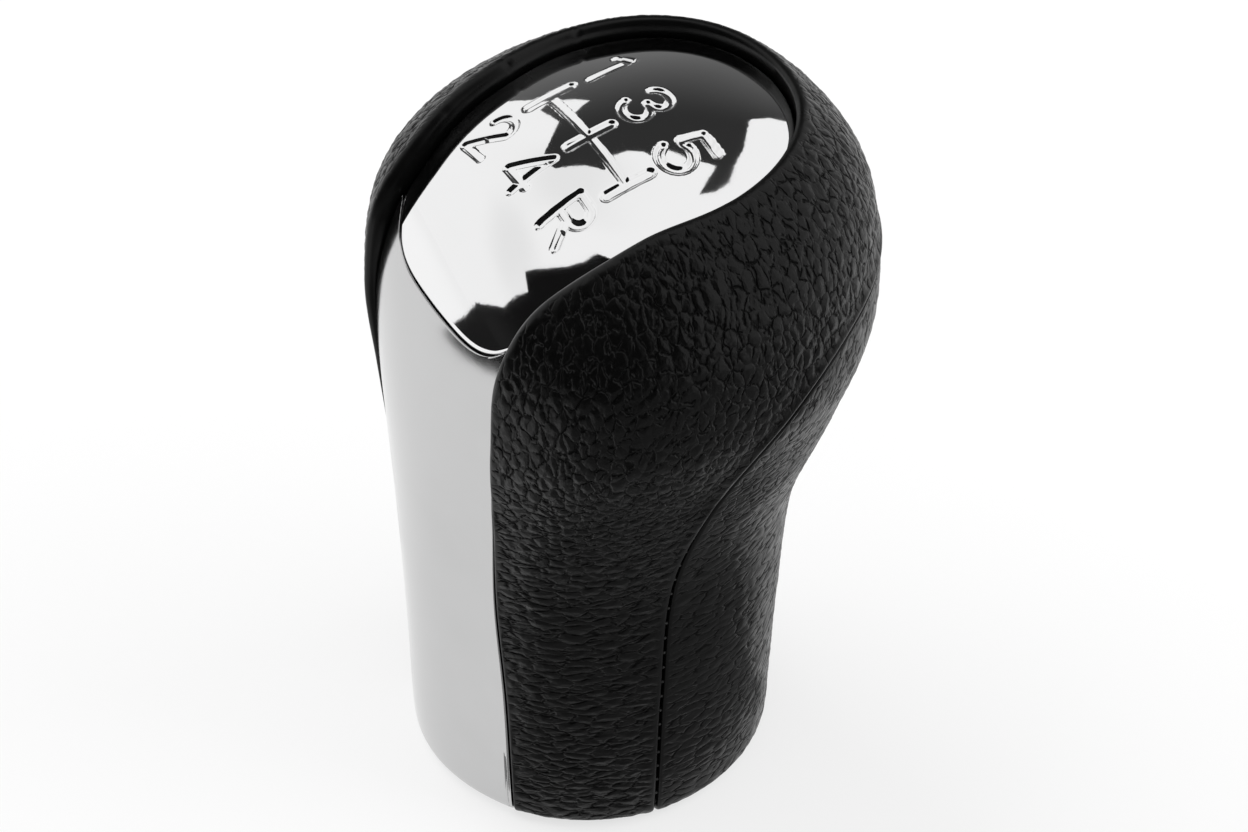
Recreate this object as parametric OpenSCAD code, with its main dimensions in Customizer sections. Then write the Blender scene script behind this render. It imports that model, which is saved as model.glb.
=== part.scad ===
// Leather gear shift knob with a bright spine and shift plate.
// The lever's thread runs along Z and the foot rests on z = 0.
// The spine faces -Y, towards the driver, and the head leans forward to +Y.

/* [Grip] */
// Diameter of the grip at its foot
foot_d = 39.6; // [36:0.2:42]
// Radius of the rounded foot
foot_round = 1.7; // [1.4:0.1:2.2]
// Height of the leather's lowest edge above the resting face
foot_lift = 0.3; // [0.1:0.1:0.6]
// Height at which the straight shank ends
shank_z = 34.6; // [32:0.2:38]
// Height of the widest part of the head
belly_z = 58.1; // [55:0.1:61]
// Height of the head's dome, were it whole above the plate
crest_z = 81.2; // [79:0.1:84]
// Widest width of the head
head_w = 51.4; // [48:0.2:55]
// Reach of the head behind the lever's axis
head_back = 19.8; // [19:0.1:22]
// Reach of the head in front of the lever's axis
head_front = 29.4; // [27:0.1:33]

/* [Leather] */
// Thickness of the leather
leather_t = 1.2; // [0.9:0.05:1.4]
// Radius of the leather's roll beside the spine
shank_roll = 1.6; // [1.5:0.05:2]
// Radius of the leather's roll round the shift plate
plate_roll = 1.7; // [1.5:0.05:2.2]
// Radius of the leather's edges at the seam
seam_roll = 1.1; // [0.8:0.05:1.3]
// Half of the slit between the two sewn edges
seam_slit = 0.12; // [0.05:0.01:0.2]
// Depth of the folded edges at the seam
fold_h = 2.1; // [1.9:0.05:2.4]
// Width of each folded edge at the seam
fold_w = 1.3; // [1.1:0.05:1.5]

/* [Trim] */
// Thickness of the spine trim
spine_t = 2; // [1.8:0.05:2.2]
// Thickness of the shift plate
plate_t = 1.5; // [1.2:0.05:1.8]
// Depth of the spine below the leather along the shank
shank_sink = 0.1; // [0.05:0.05:0.4]
// Depth of the shift plate below the leather's crest
plate_sink = 2.7; // [2.3:0.05:3.1]
// Half angle of the spine at the foot
spine_angle = 38; // [34:0.5:42]
// Gap between the spine and the plate
trim_gap = 0.35; // [0.2:0.05:0.6]
// Width of the spine's hooks
hook_w = 5; // [4:0.25:7]
// Height of the spine's hooks
hook_h = 2; // [1.5:0.1:3]
// Diameter of the plate's pegs
peg_d = 3; // [2:0.1:4]
// Length of the plate's pegs below its underside
peg_l = 5; // [3:0.25:7]

/* [Core] */
// Clearance between the core and what covers it
cover_gap = 0.15; // [0.1:0.01:0.2]
// Wall of the hub round the insert
hub_wall = 1.8; // [1.4:0.1:2.4]
// Wall between the core's cavity and the spine
shank_wall = 2.6; // [2.2:0.1:3]
// Depth of the core's cavity
cavity_h = 34; // [20:0.5:36]
// Thickness of the core's ribs
rib_t = 1.6; // [1.2:0.1:2.4]
// Number of the core's ribs
ribs = 6; // [3:1:8]

/* [Lever insert] */
// Bore of the lever's thread, at its crests
bore_d = 10.64; // [8.4:0.02:11]
// Diameter of the insert's body
insert_d = 16; // [14.5:0.1:17]
// Diameter of the insert's flange
flange_d = 18.4; // [17.6:0.1:19]
// Thickness of the insert's flange
flange_t = 2; // [1.5:0.1:3]
// Length of the insert
insert_l = 30; // [24:0.5:32]
// Depth of the threaded bore
bore_l = 27; // [20:0.5:29]
// Number of knurls round the insert
knurls = 28; // [16:1:36]
// Depth of a knurl
knurl_h = 0.5; // [0.3:0.05:0.7]

/* [Closing ring] */
// Hole in the closing ring for the lever
ring_hole_d = 16.8; // [15:0.1:17.4]
// Height of the closing ring's collar
collar_h = 4; // [2:0.25:6]
// Wall of the closing ring's collar
collar_t = 1.2; // [1:0.1:1.8]

/* [Hidden] */

black = "#1b1b1d";
bright = "#c9ccd0";
moulded = "#3a3d40";
brass = "#b8963e";

foot_r = foot_d / 2;
foot_z = foot_lift + foot_round;
mid_z = (shank_z + belly_z) / 2;
rim_z = (belly_z + crest_z) / 2;

// The skin's outline from the foot up: back y, back z, front y, front z, half width
skin_rings = [
    [-foot_r, foot_z, foot_r + 0.2, foot_z, foot_r],
    [-foot_r, shank_z / 2, foot_r + 0.8, shank_z / 2 + 2.5, foot_r + 0.1],
    [-foot_r - 0.4, shank_z - 2, foot_r + 2.3, shank_z + 1, foot_r + 0.4],
    [-head_back - 0.5, mid_z - 0.6, head_front - 2.8, mid_z + 0.7, (foot_r + head_w / 2) / 2],
    [-head_back, belly_z - 1.3, head_front, belly_z + 0.5, head_w / 2],
    [-head_back + 1.9, rim_z - 2.8, head_front - 0.2, rim_z + 0.5, head_w / 2 - 1],
    [-head_back + 8.6, crest_z - 6.1, head_front - 4.8, crest_z - 3.7, head_w / 2 - 6.6],
    [-head_back + 18, crest_z - 1.4, head_front - 11.8, crest_z + 0.8, head_w / 2 - 15.5],
    [-head_back + 28.8, crest_z, -head_back + 28.8, crest_z, 0]
];
// Roundness of the rings: 2 is an ellipse, more is squarer
round_at = [2, 2.1, 2.2, 2.3, 2.4, 2.3, 2.2, 2.1, 2];
// How much a ring narrows towards its front
egg_at = [0, 0.01, 0, -0.04, -0.08, -0.12, -0.08, -0.03, 0];

// Edge of the opening for the spine and plate: ring number, angle round the skin
opening = [
    [0, spine_angle - 90], [1.45, spine_angle - 91.5], [2.72, spine_angle - 95],
    [3.85, spine_angle - 101], [4.8, spine_angle - 102.5], [5.62, spine_angle - 94.5],
    [6.28, -30], [6.42, 5], [6.46, 46], [6.42, 90]
];
// Line of the seam on the skin, level with the points of the opening's edge
seam = [
    [0, -6], [0.9, -4.6], [1.8, -3], [2.6, -1.5], [3.2, 1], [3.75, 6.5], [4.15, 16],
    [4.4, 31], [4.5, 56], [4.52, 90]
];
// Middle line of the front panel, level with the same points
front_line = [0, 0.8, 1.5, 2.15, 2.7, 3.15, 3.45, 3.65, 3.75, 3.8];
// Middle line of the spine and plate: y and z, level with the same points
trim_line = [
    [-foot_r + shank_sink, foot_z], [-foot_r + shank_sink, shank_z - 10],
    [-head_back + 0.1, mid_z - 4], [-head_back + 1, belly_z - 3],
    [-head_back + 4.5, belly_z + 6.5], [-head_back + 10.2, crest_z - 8.4],
    [-head_back + 18.2, crest_z - 4.4], [-head_back + 23.5, crest_z - 3.1],
    [-head_back + 27.5, crest_z - 2.6], [-head_back + 30, crest_z - 2.5]
];
// How far the trim sinks below the skin at its edge, from the shank to the plate
sink_at = [0, 0, 0.08, 0.4, 0.85, 1, 1, 1, 1, 1];
// Place of the gap between the spine and the plate, as a share of the opening's edge
gap_at = 0.422;
// How far the gap climbs round the plate's rounded corners, in the same shares
gap_rise = 0.066;
// Length of the opening's edge that one whole share covers near the gap
gap_pace = 125;

// Clearance of the insert in the core, and of the trim above its seat
press_gap = 0.05;
seat_gap = cover_gap + 0.07;
cavity_r = foot_r - shank_sink - spine_t - cover_gap - shank_wall;
hub_r = flange_d / 2 + press_gap + hub_wall;
// Reach of a hook past the core's wall, its catch, and where the hooks are
hook_reach = 1.1;
catch_h = 0.8;
hook_z = [9, 27];
tongue_l = 6;
tongue_z = mid_z + 1.5;
// How far a hook or the tongue runs into the spine
root_lap = 0.4;
// Rows of the plate that carry a pair of pegs, and how far out they are
peg_at = [[0.62, 0.55], [0.86, 0.6]];

// Value of a list at a fractional place, smooth through its entries
function smooth(p, s) =
    let (n = len(p) - 1, i = max(0, min(floor(s), n - 1)), f = s - i,
        a = p[max(i - 1, 0)], b = p[i], c = p[i + 1], d = p[min(i + 2, n)])
    0.5 * (2 * b + (c - a) * f + (2 * a - 5 * b + 4 * c - d) * f * f
        + (3 * b - a - 3 * c + d) * f * f * f);
function along(p, u) = smooth(p, u * (len(p) - 1));
function unit(v) = v / norm(v);
function mirrored(p) = [-p.x, p.y, p.z];
function power(v, e) = sign(v) * pow(abs(v), e);

// A point of the skin: s is the ring, negative round the foot, and a the angle
function skin(s, a) =
    let (inset = s < 0 ? foot_round * (1 - cos(-90 * s)) : 0,
        drop = s < 0 ? foot_round * sin(-90 * s) : 0,
        r = smooth(skin_rings, max(s, 0)) + [inset, -drop, -inset, -drop, -inset],
        e = 2 / smooth(round_at, max(s, 0)), g = smooth(egg_at, max(s, 0)),
        x = power(cos(a), e), y = power(sin(a), e))
    [r[4] * x * (1 + g * y), (r[0] + r[2] + (r[2] - r[0]) * y) / 2,
        (r[1] + r[3] + (r[3] - r[1]) * y) / 2];
function outward(s, a) =
    let (h = 0.01)
    unit(cross(skin(s, a + 20 * h) - skin(s, a - 20 * h), skin(s + h, a) - skin(s - h, a)));

// Places on the skin at a share u of the opening's edge, negative round the foot
function at_opening(u) = u < 0 ? [u, opening[0][1]] : along(opening, u);
function at_seam(u) = u < 0 ? [u, seam[0][1]] : along(seam, u);
function at_front(u) = [u < 0 ? u : along(front_line, u), 90];
function sink(u) =
    shank_sink + (plate_sink - shank_sink) * max(0, u < 0 ? 0 : along(sink_at, u));
function roll(u) = shank_roll + (plate_roll - shank_roll) * (u < 0 ? 0 : along(sink_at, u));
// How much a place on the edge belongs to the plate and not to the shank
function upper(u) = max(0, min(1, (u - 0.2) / 0.25));
function trim_t(u) = spine_t + (plate_t - spine_t) * upper(u);

// Middle of the trim, and the way its face looks there
function trim_mid(u) =
    let (p = along(trim_line, max(u, 0)), c = u < 0 ? 1 - cos(-90 * u) : 0,
        d = u < 0 ? sin(-90 * u) : 0)
    [0, p[0] + foot_round * c, p[1] - foot_round * d];
function trim_out(u) =
    let (h = 0.002, u1 = min(u, 1 - h), d = trim_mid(u1 + h) - trim_mid(u1 - h))
    unit([0, -d.z, d.y]);
// Share of the edge at which the gap lies, from the middle of the trim to its edge
function gap_share(q) = gap_at + gap_rise * pow(q, 5);
// The way the trim's edge walls run: square to the skin on the shank, to the plate above
function wall_out(u) =
    let (k = at_opening(u), f = upper(u))
    unit(outward(k[0], k[1]) * (1 - f) + trim_out(u) * f);
function trim_edge(u, side) =
    let (k = at_opening(u), p = skin(k[0], k[1]) - wall_out(u) * sink(u))
    p - unit(p - trim_mid(u)) * side;
// A point of the trim's face: q runs from its middle to its edge, h is the depth
function trim_face(u, q, h, side) =
    let (c = trim_mid(u), w = trim_out(max(u, 0)), d = trim_edge(u, side) - c,
        rise = w * (d * w), look = unit(trim_out(u) * (1 - q * q) + wall_out(u) * q * q))
    c + (d - rise) * q + rise * q * q - look * h;

// A point of a leather panel between places a and b on the skin
function panel_point(a, b, v, h, wall, share) =
    let (s = a[0] + (b[0] - a[0]) * v, g = a[1] + (b[1] - a[1]) * v, n = outward(s, g))
    skin(s, g) - h * (share > 0 ? unit(n * (1 - share) + wall * share) : n);
// Length of skin that the whole step from a to b would cover at its speed near a
function pace(a, b) = norm(skin(a[0] + (b[0] - a[0]) * 0.01, a[1] + (b[1] - a[1]) * 0.01)
    - skin(a[0], a[1])) * 100;

// Sections are lists of [distance, depth, share of the wall's direction]
function opening_section(u, inner) =
    let (r = roll(u), end = sink(u) + trim_t(u) + cover_gap - 0.7, c = r - leather_t)
    inner ? [[0.25, end, 1], [leather_t, r, 1], [r - 0.7 * c, r - 0.7 * c, 0.5], [r, leather_t, 0]]
        : [[0, end, 1], [0, r, 1], [0.3 * r, 0.3 * r, 0.5], [r, 0, 0]];
function seam_section(inner) =
    inner ? [[fold_w + 0.4, leather_t, 0], [fold_w, leather_t + 0.1, 0], [fold_w, 1.6, 0],
        [fold_w, fold_h, 0]]
        : [[seam_roll + seam_slit, 0, 0], [0.3 * seam_roll + seam_slit, 0.3 * seam_roll, 0],
        [seam_slit, seam_roll, 0], [seam_slit, fold_h, 0]];

// One row of the wrap, from the opening's edge to the seam
function wrap_row(u, inner, steps) =
    let (a = at_opening(u), b = at_seam(u), wall = wall_out(u), pa = pace(a, b), pb = pace(b, a),
        v0 = roll(u) / pa, v1 = 1 - (seam_roll + seam_slit) / pb)
    concat(
        [for (p = opening_section(u, inner)) panel_point(a, b, p[0] / pa, p[1], wall, p[2])],
        [for (i = [1:steps]) panel_point(a, b, v0 + (v1 - v0) * i / (steps + 1),
            inner ? leather_t : 0, wall, 0)],
        [for (p = seam_section(inner)) panel_point(a, b, 1 - p[0] / pb, p[1], wall, 0)]);
// One row of the front panel, from its middle line to the seam
function front_row(u, inner, steps) =
    let (a = at_front(u), b = at_seam(u), pb = pace(b, a),
        v1 = 1 - (seam_roll + seam_slit) / pb)
    concat(
        [for (i = [0:steps]) panel_point(a, b, v1 * i / (steps + 1),
            inner ? leather_t : 0, [0, 0, 1], 0)],
        [for (p = seam_section(inner)) panel_point(a, b, 1 - p[0] / pb, p[1], [0, 0, 1], 0)]);
// One row of the trim, from its middle line to its bevelled edge. It lies a share f of the
// way from the place u0 to the gap, which is side away from the trim's own end.
function trim_row(u0, f, side, inner) =
    let (w = norm(trim_edge(max(u0, gap_at), 0) - trim_mid(max(u0, gap_at))),
        e = 1 - bevel / w, at = function (q) u0 + (gap_share(q) + side / gap_pace - u0) * f)
    concat(
        [for (i = [0:trim_steps]) let (q = e * i / trim_steps, u = at(q))
            trim_face(u, q, inner ? trim_t(u) : 0, cover_gap)],
        [let (u = at(1)) trim_face(u, 1, inner ? trim_t(u) - bevel : bevel, cover_gap)]);
// One row of the core, from the middle of the spine round to the middle of the front
function core_row(u) =
    let (a = at_opening(u), b = at_seam(u), c = at_front(u), wall = wall_out(u),
        pa = pace(a, b), pb = pace(b, a), pc = pace(b, c), r = roll(u) + 0.1,
        deep = leather_t + cover_gap, slot = fold_h + cover_gap, half = fold_w + cover_gap,
        v0 = r / pa, v1 = 1 - (half + 0.1) / pb, v2 = 1 - (half + 0.1) / pc)
    concat(
        [for (i = [0:trim_steps]) trim_face(u, i / trim_steps, trim_t(u) + seat_gap, 0)],
        [panel_point(a, b, deep / pa, r, wall, 1)],
        [for (i = [0:core_steps]) panel_point(a, b, v0 + (v1 - v0) * i / core_steps, deep, wall, 0)],
        [for (v = [1 - half / pb, 1]) panel_point(a, b, v, slot, wall, 0)],
        [panel_point(c, b, 1 - half / pc, slot, wall, 0)],
        [for (i = [core_front:-1:0]) panel_point(c, b, v2 * i / core_front, deep, wall, 0)]);

// Faces between the rows of a sheet that has m points on its outside and m on its inside.
// Where joined, the two halves share the points of their middle line.
function sheet_faces(rows, m, joined) =
    let (w = 2 * m, at = function (i, j)
        joined && (j == 0 || j == w - 1) && i > (rows - 1) / 2 ? (rows - 1 - i) * w + j : i * w + j)
    concat(
        [for (i = [0:rows - 2], j = [0:w - 1]) if (!(joined && j == w - 1))
            let (k = (j + 1) % w)
            each [[at(i, j), at(i, k), at(i + 1, k)], [at(i, j), at(i + 1, k), at(i + 1, j)]]],
        [for (j = [0:m - 2]) each [[at(0, j), at(0, w - 1 - j), at(0, w - 2 - j)],
            [at(0, j), at(0, w - 2 - j), at(0, j + 1)]]],
        [for (j = [0:m - 2]) each [
            [at(rows - 1, j), at(rows - 1, j + 1), at(rows - 1, w - 2 - j)],
            [at(rows - 1, j), at(rows - 1, w - 2 - j), at(rows - 1, w - 1 - j)]]]);
// Faces between the rows of a closed body, whose first and last columns are middle lines
function body_faces(rows, w) =
    let (n = rows * w, at = function (i, j)
        (j == 0 || j == w - 1) && i > (rows - 1) / 2 ? (rows - 1 - i) * w + j : i * w + j)
    concat(
        [for (i = [0:rows - 2], j = [0:w - 2])
            each [[at(i, j), at(i + 1, j + 1), at(i, j + 1)], [at(i, j), at(i + 1, j), at(i + 1, j + 1)]]],
        [for (j = [0:w - 2]) each [[n, at(0, j), at(0, j + 1)],
            [n, at(rows - 1, j + 1), at(rows - 1, j)]]]);
function reversed(p) = [for (i = [len(p) - 1:-1:0]) p[i]];
// Rows of the right half, then their mirror images back down the left
function both_sides(half) =
    concat(half, [for (i = [len(half) - 2:-1:0]) [for (p = half[i]) mirrored(p)]]);
module sheet(rows, m, joined) {
    polyhedron([for (r = rows) each r], sheet_faces(len(rows), m, joined), convexity = 8);
}

// Counts of rows along the opening's edge and of steps across each piece
wrap_rows = 34;
wrap_steps = 7;
front_rows = 30;
front_steps = 5;
core_rows = 30;
core_steps = 4;
core_front = (front_steps + 1) / 2;
spine_rows = 15;
plate_rows = 15;
trim_steps = 5;
bevel = 0.3;
foot_rows = [-1, -0.66, -0.33];

// The insert's seat in the core, and its cavity between the hub, the wall and the ribs
module insert_seat() {
    translate([0, 0, foot_z - 1]) cylinder(h = insert_l + 2, d = insert_d + 2 * press_gap, $fn = 64);
    translate([0, 0, foot_z - 1])
        cylinder(h = flange_t + 1 + press_gap, d = flange_d + 2 * press_gap, $fn = 64);
}
module cavity() {
    difference() {
        translate([0, 0, foot_z - 1]) cylinder(h = cavity_h + 1, r = cavity_r, $fn = 64);
        translate([0, 0, foot_z - 2]) cylinder(h = cavity_h + 3, r = hub_r, $fn = 64);
        for (i = [0:ribs - 1]) rotate([0, 0, i * 360 / ribs])
            translate([hub_r - 1, -rib_t / 2, foot_z - 2]) cube([foot_r, rib_t, cavity_h + 3]);
    }
}
// Slot through the wall of the cavity for a hook, and a blind one for the tongue
module hook_slot(z) {
    translate([-hook_w / 2 - cover_gap, -foot_r, z - catch_h - 2 * cover_gap])
        cube([hook_w + 2 * cover_gap, foot_r - cavity_r + 2, hook_h + catch_h + 3 * cover_gap]);
}
module tongue_slot() {
    translate([-hook_w / 2 - cover_gap, -head_back, tongue_z - cover_gap])
        cube([hook_w + 2 * cover_gap, tongue_l + cover_gap, hook_h + 2 * cover_gap]);
}
module pegs(extra, longer) {
    for (p = peg_at, side = [-1, 1]) {
        top = trim_face(p[0], p[1], plate_t / 2, cover_gap);
        translate([side * top.x, top.y, top.z - plate_t / 2 - peg_l - longer])
            cylinder(h = peg_l + plate_t / 2 + longer, d = peg_d + 2 * extra, $fn = 32);
    }
}

module grip_core() {
    half = [for (i = [0:core_rows]) core_row(i / core_rows)];
    level = concat([[for (p = half[0]) [p.x, p.y, foot_z]]], [for (i = [1:core_rows]) half[i]]);
    rows = both_sides(level);
    color(moulded) difference() {
        polyhedron(concat([for (r = rows) each r], [[0, 0, foot_z]]),
            body_faces(len(rows), len(rows[0])), convexity = 8);
        insert_seat();
        cavity();
        for (z = hook_z) hook_slot(z);
        tongue_slot();
        pegs(cover_gap, 1);
    }
}

// Metal insert that the lever screws into, with two knurled bands
module knurl_band(z, h) {
    translate([0, 0, z]) linear_extrude(h)
        polygon([for (i = [0:2 * knurls - 1]) let (r = insert_d / 2 - (i % 2) * knurl_h)
            r * [cos(i * 180 / knurls), sin(i * 180 / knurls)]]);
}
module thread_insert() {
    body_r = insert_d / 2 - knurl_h - 0.1;
    band = (insert_l - flange_t) / 3;
    chamfer = 0.8;
    color(brass) translate([0, 0, foot_z]) difference() {
        union() {
            cylinder(h = flange_t, d = flange_d, $fn = 64);
            cylinder(h = insert_l, r = body_r, $fn = 64);
            knurl_band(flange_t + 1, band);
            knurl_band(insert_l - 1 - band, band);
        }
        translate([0, 0, -1]) cylinder(h = bore_l + 1, d = bore_d, $fn = 64);
        cylinder(h = chamfer, d1 = bore_d + 2 * chamfer, d2 = bore_d, $fn = 64);
    }
}

// Ring that closes the foot, holds the tucked leather and carries the flat resting face
module closing_ring() {
    hole = ring_hole_d / 2;
    outer = foot_r - foot_round - shank_sink - 2 * cover_gap;
    collar = cavity_r - cover_gap;
    chamfer = 0.4;
    relief = 0.2;
    color(moulded) difference() {
        rotate([0, 0, 180 / ribs]) rotate_extrude($fn = 96) polygon([
            [hole, chamfer], [hole + chamfer, 0], [outer - chamfer, 0], [outer, chamfer],
            [outer, foot_z], [collar, foot_z], [collar, foot_z + collar_h],
            [collar - collar_t, foot_z + collar_h], [collar - collar_t, foot_z], [hole, foot_z]]);
        for (i = [0:ribs - 1]) rotate([0, 0, i * 360 / ribs])
            translate([collar - 2 * collar_t, -rib_t / 2 - 2 * cover_gap, foot_z - relief])
                cube([3 * collar_t, rib_t + 4 * cover_gap, collar_h + 1]);
    }
}

// Bright strip down the driver's side, hooked into the core
module hook(z) {
    root = -foot_r + shank_sink + spine_t;
    tip = -cavity_r + hook_reach;
    catch = -cavity_r + 2 * cover_gap;
    translate([-hook_w / 2, root - root_lap, z]) cube([hook_w, tip - root + root_lap, hook_h]);
    translate([-hook_w / 2, catch, z]) cube([hook_w, tip - catch, hook_h + catch_h]);
}
module spine_trim() {
    feet = [for (u = foot_rows) [u, 0]];
    rest = [for (i = [0:spine_rows]) [0, i / spine_rows]];
    rows = [for (p = concat(feet, rest))
        let (out = trim_row(p[0], p[1], -trim_gap / 2, false),
            inn = trim_row(p[0], p[1], -trim_gap / 2, true))
        concat(reversed(out), [for (i = [1:len(out) - 1]) mirrored(out[i])],
            [for (i = [len(inn) - 1:-1:1]) mirrored(inn[i])], inn)];
    tongue_y = -head_back + spine_t - root_lap;
    color(bright) union() {
        sheet(rows, 2 * trim_steps + 3, false);
        for (z = hook_z) hook(z);
        translate([-hook_w / 2, tongue_y, tongue_z])
            cube([hook_w, tongue_l - head_back - tongue_y, hook_h]);
    }
}

// Domed plate that carries the shift pattern, pegged into the core
module shift_plate() {
    half = [for (i = [0:plate_rows]) let (f = 1 - i / plate_rows)
        concat(trim_row(1, f, trim_gap / 2, true), reversed(trim_row(1, f, trim_gap / 2, false)))];
    color(bright) union() {
        sheet(both_sides(half), trim_steps + 2, true);
        pegs(0, 0);
    }
}

// Leather over the head and both sides, in one piece from foot to foot
module leather_wrap() {
    places = concat(foot_rows, [for (i = [0:wrap_rows]) i / wrap_rows]);
    half = [for (u = places)
        concat(wrap_row(u, true, wrap_steps), reversed(wrap_row(u, false, wrap_steps)))];
    color(black) sheet(both_sides(half), wrap_steps + 8, false);
}

// Tongue of leather up the front, sewn into the wrap
module leather_front() {
    places = concat(foot_rows, [for (i = [0:front_rows]) i / front_rows]);
    half = [for (u = places)
        concat(front_row(u, false, front_steps), reversed(front_row(u, true, front_steps)))];
    color(black) sheet(both_sides(half), front_steps + 5, true);
}

grip_core();
thread_insert();
closing_ring();
spine_trim();
shift_plate();
leather_wrap();
leather_front();
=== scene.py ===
# %% [markdown]
# # A leather and chrome gear shift knob
# The solids come packed from the part's own source: core, threaded insert, closing ring, bright
# spine, bright plate and two pieces of leather. This lesson dresses them. Nothing moves against
# anything else, so every piece rides on the one body, and every size below is the solids' own,
# in millimetres, turned into metres when a mesh is made.

import math

import bmesh
import bpy
import numpy as np
from mathutils import Matrix, Vector


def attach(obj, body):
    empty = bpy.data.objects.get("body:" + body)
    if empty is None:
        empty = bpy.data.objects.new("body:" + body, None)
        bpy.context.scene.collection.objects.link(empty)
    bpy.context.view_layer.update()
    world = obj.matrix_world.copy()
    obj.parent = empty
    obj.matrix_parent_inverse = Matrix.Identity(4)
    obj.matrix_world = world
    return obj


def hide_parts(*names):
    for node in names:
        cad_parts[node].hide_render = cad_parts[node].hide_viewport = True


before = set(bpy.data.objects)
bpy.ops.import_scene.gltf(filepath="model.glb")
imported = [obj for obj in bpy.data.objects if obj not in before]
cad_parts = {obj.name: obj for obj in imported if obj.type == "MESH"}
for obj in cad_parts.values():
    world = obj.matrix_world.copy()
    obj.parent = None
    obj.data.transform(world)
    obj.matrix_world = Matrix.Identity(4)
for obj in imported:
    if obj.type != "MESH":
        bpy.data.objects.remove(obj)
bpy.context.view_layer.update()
MM = 0.001
print("solids:", sorted(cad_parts))

# %% [markdown]
# ## The skin of the knob
# A sewn leather skin has no flat faces to measure from, so the knob is described as a maker's
# loft: rings stacked from the foot to the crest, each with a back, a front and a half width. The
# edge of the opening and the seam are lines drawn on that skin. The same few tables made the
# solids, so whatever is built on them here lands on the solids without any fitting.

# %% Sizes and tables of the loft
foot_round, foot_lift, foot_r = 1.7, 0.3, 19.8
shank_z, belly_z, crest_z = 34.6, 58.1, 81.2
head_w, head_back, head_front = 51.4, 19.8, 29.4
leather_t, plate_roll, seam_slit, fold_h = 1.2, 1.7, 0.12, 2.1
spine_t, plate_t, shank_sink, plate_sink, thin_from, thin_run = 2.0, 1.5, 0.1, 2.7, 0.2, 0.25
spine_angle, trim_gap, cover_gap = 38.0, 0.35, 0.15
gap_at, gap_rise, gap_pace = 0.422, 0.066, 125.0
foot_z = foot_lift + foot_round
mid_z, rim_z = (shank_z + belly_z) / 2, (belly_z + crest_z) / 2

skin_rings = np.array([
    [-foot_r, foot_z, foot_r + 0.2, foot_z, foot_r],
    [-foot_r, shank_z / 2, foot_r + 0.8, shank_z / 2 + 2.5, foot_r + 0.1],
    [-foot_r - 0.4, shank_z - 2, foot_r + 2.3, shank_z + 1, foot_r + 0.4],
    [-head_back - 0.5, mid_z - 0.6, head_front - 2.8, mid_z + 0.7, (foot_r + head_w / 2) / 2],
    [-head_back, belly_z - 1.3, head_front, belly_z + 0.5, head_w / 2],
    [-head_back + 1.9, rim_z - 2.8, head_front - 0.2, rim_z + 0.5, head_w / 2 - 1],
    [-head_back + 8.6, crest_z - 6.1, head_front - 4.8, crest_z - 3.7, head_w / 2 - 6.6],
    [-head_back + 18, crest_z - 1.4, head_front - 11.8, crest_z + 0.8, head_w / 2 - 15.5],
    [-head_back + 28.8, crest_z, -head_back + 28.8, crest_z, 0]])
round_at = np.array([[2], [2.1], [2.2], [2.3], [2.4], [2.3], [2.2], [2.1], [2]])
egg_at = np.array([[0], [0.01], [0], [-0.04], [-0.08], [-0.12], [-0.08], [-0.03], [0]])
opening = np.array([
    [0, spine_angle - 90], [1.45, spine_angle - 91.5], [2.72, spine_angle - 95],
    [3.85, spine_angle - 101], [4.8, spine_angle - 102.5], [5.62, spine_angle - 94.5],
    [6.28, -30], [6.42, 5], [6.46, 46], [6.42, 90]])
seam = np.array([
    [0, -6], [0.9, -4.6], [1.8, -3], [2.6, -1.5], [3.2, 1], [3.75, 6.5], [4.15, 16],
    [4.4, 31], [4.5, 56], [4.52, 90]])
front_line = np.array([[0], [0.8], [1.5], [2.15], [2.7], [3.15], [3.45], [3.65], [3.75], [3.8]])
trim_line = np.array([
    [-foot_r + shank_sink, foot_z], [-foot_r + shank_sink, shank_z - 10],
    [-head_back + 0.1, mid_z - 4], [-head_back + 1, belly_z - 3],
    [-head_back + 4.5, belly_z + 6.5], [-head_back + 10.2, crest_z - 8.4],
    [-head_back + 18.2, crest_z - 4.4], [-head_back + 23.5, crest_z - 3.1],
    [-head_back + 27.5, crest_z - 2.6], [-head_back + 30, crest_z - 2.5]])
sink_at = np.array([[0], [0], [0.08], [0.4], [0.85], [1], [1], [1], [1], [1]])
print("the loft has", len(skin_rings), "rings and closes", crest_z, "mm up")

# %% [markdown]
# A knob's skin is smooth between the rings, so the tables are read with a spline that runs
# through every entry. numpy reads thousands of places at once, which is why each helper below
# takes whole arrays and returns whole arrays.

# %% Read a table between its rows
def smooth(table, place):
    s = np.asarray(place, float)
    last = len(table) - 1
    i = np.clip(np.floor(s).astype(int), 0, last - 1)
    f = (s - i)[..., None]
    a, b = table[np.maximum(i - 1, 0)], table[i]
    c, d = table[i + 1], table[np.minimum(i + 2, last)]
    return 0.5 * (2 * b + (c - a) * f + (2 * a - 5 * b + 4 * c - d) * f ** 2
                  + (3 * b - a - 3 * c + d) * f ** 3)


def along(table, u):
    return smooth(table, np.maximum(u, 0) * (len(table) - 1))


def unit(v):
    return v / np.maximum(np.linalg.norm(v, axis=-1, keepdims=True), 1e-12)


def power(v, e):
    return np.sign(v) * np.abs(v) ** e


def step(low, high, v):
    t = np.clip((v - low) / (high - low), 0, 1)
    return t * t * (3 - 2 * t)


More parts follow.
